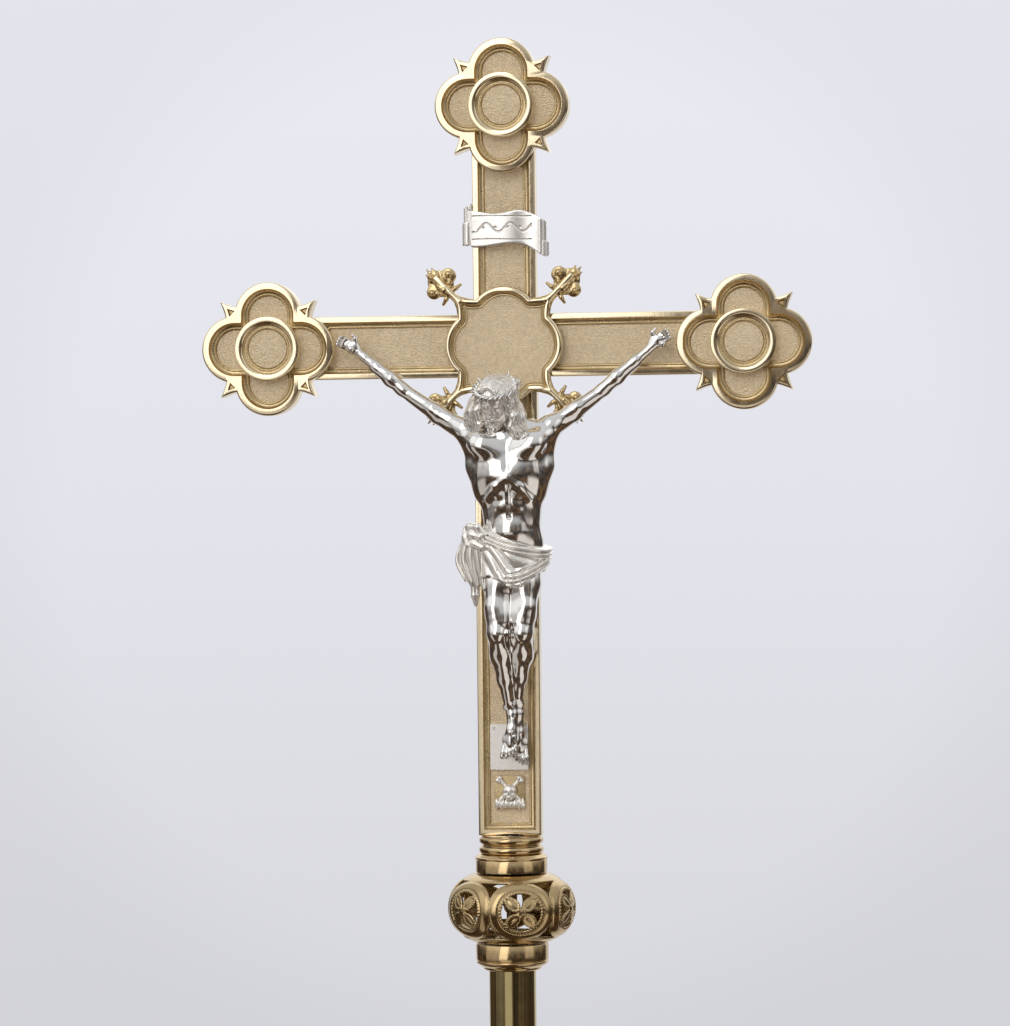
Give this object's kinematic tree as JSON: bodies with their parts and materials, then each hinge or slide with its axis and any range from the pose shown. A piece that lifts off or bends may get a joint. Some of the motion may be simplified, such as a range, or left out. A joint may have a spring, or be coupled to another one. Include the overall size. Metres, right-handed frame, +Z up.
{
  "type": "processional cross",
  "caption": "Processional cross with a silver corpus and quatrefoil-ended brass arms on a pierced knop, carried on a brass staff that unscrews into sections.",
  "frame": {"origin": "centre of the foot pad's underside, on the staff's axis", "axes": "+Z up along the staff, front of the cross and the figure facing -Y, +X to the viewer's right"},
  "size_m": [0.365, 0.0879, 1.8535],
  "materials": {
    "cast_brass": "cast brass, polished on the rims and matt stippled in the sunk fields",
    "stippled_brass": "matt stippled brass",
    "turned_brass": "turned and polished brass, lacquered",
    "knop_brass": "cast and chased brass, darkened in the recesses",
    "staff_brass": "polished drawn brass tube",
    "silver": "silver plate, polished, satin on the cloth",
    "steel": "turned steel",
    "leather": "oiled leather washer",
    "rubber": "matt rubber"
  },
  "bodies": {
    "lower_staff": {"foot_pad": "rubber", "foot_screw": "steel", "foot_ferrule": "turned_brass", "lower_tube": "staff_brass", "lower_socket": "turned_brass"},
    "mid_ring": {"mid_washer": "leather"},
    "upper_staff": {"joint_stud": "steel", "upper_ferrule": "turned_brass", "upper_tube": "staff_brass", "staff_top_bush": "turned_brass"},
    "head_ring": {"head_washer": "leather"},
    "head": {"head_stud": "steel", "lower_collar": "turned_brass", "knop": "knop_brass", "tie_rod": "steel", "upper_collar": "turned_brass", "neck_ring": "turned_brass", "cross_upright": "cast_brass", "cross_beam": "cast_brass", "top_medallion": "cast_brass", "left_medallion": "cast_brass", "right_medallion": "cast_brass", "top_bezel": "cast_brass", "left_bezel": "cast_brass", "right_bezel": "cast_brass", "top_disc": "stippled_brass", "left_disc": "stippled_brass", "right_disc": "stippled_brass", "medallion_screws": "cast_brass", "centre_frame": "cast_brass", "centre_plate": "stippled_brass", "centre_screws": "cast_brass", "leaf_upper_left": "cast_brass", "leaf_upper_right": "cast_brass", "leaf_lower_left": "cast_brass", "leaf_lower_right": "cast_brass", "title_scroll": "silver", "scroll_pins": "silver", "corpus": "silver", "corpus_screw": "cast_brass", "hand_nails": "silver", "foot_nail": "silver", "foot_plate": "silver", "skull_emblem": "silver", "plate_pins": "silver"}
  },
  "joints": [
    {"name": "mid_lift", "type": "slide", "parent": "lower_staff", "child": "mid_ring", "axis": [0, 0, 1], "range_m": [0, 0.0181]},
    {"name": "mid_screw", "type": "hinge", "parent": "mid_ring", "child": "upper_staff", "pos_m": [0, 0, 0.652], "axis": [0, 0, 1], "range_deg": [0, 2160]},
    {"name": "head_lift", "type": "slide", "parent": "upper_staff", "child": "head_ring", "axis": [0, 0, 1], "range_m": [0, 0.0181]},
    {"name": "head_screw", "type": "hinge", "parent": "head_ring", "child": "head", "pos_m": [0, 0, 1.3055], "axis": [0, 0, 1], "range_deg": [0, 2160]}
  ],
  "couplings": [
    {"joint": "mid_lift", "follows": "mid_screw", "m_per_rad": 0.00047746},
    {"joint": "head_lift", "follows": "head_screw", "m_per_rad": 0.00047746}
  ]
}
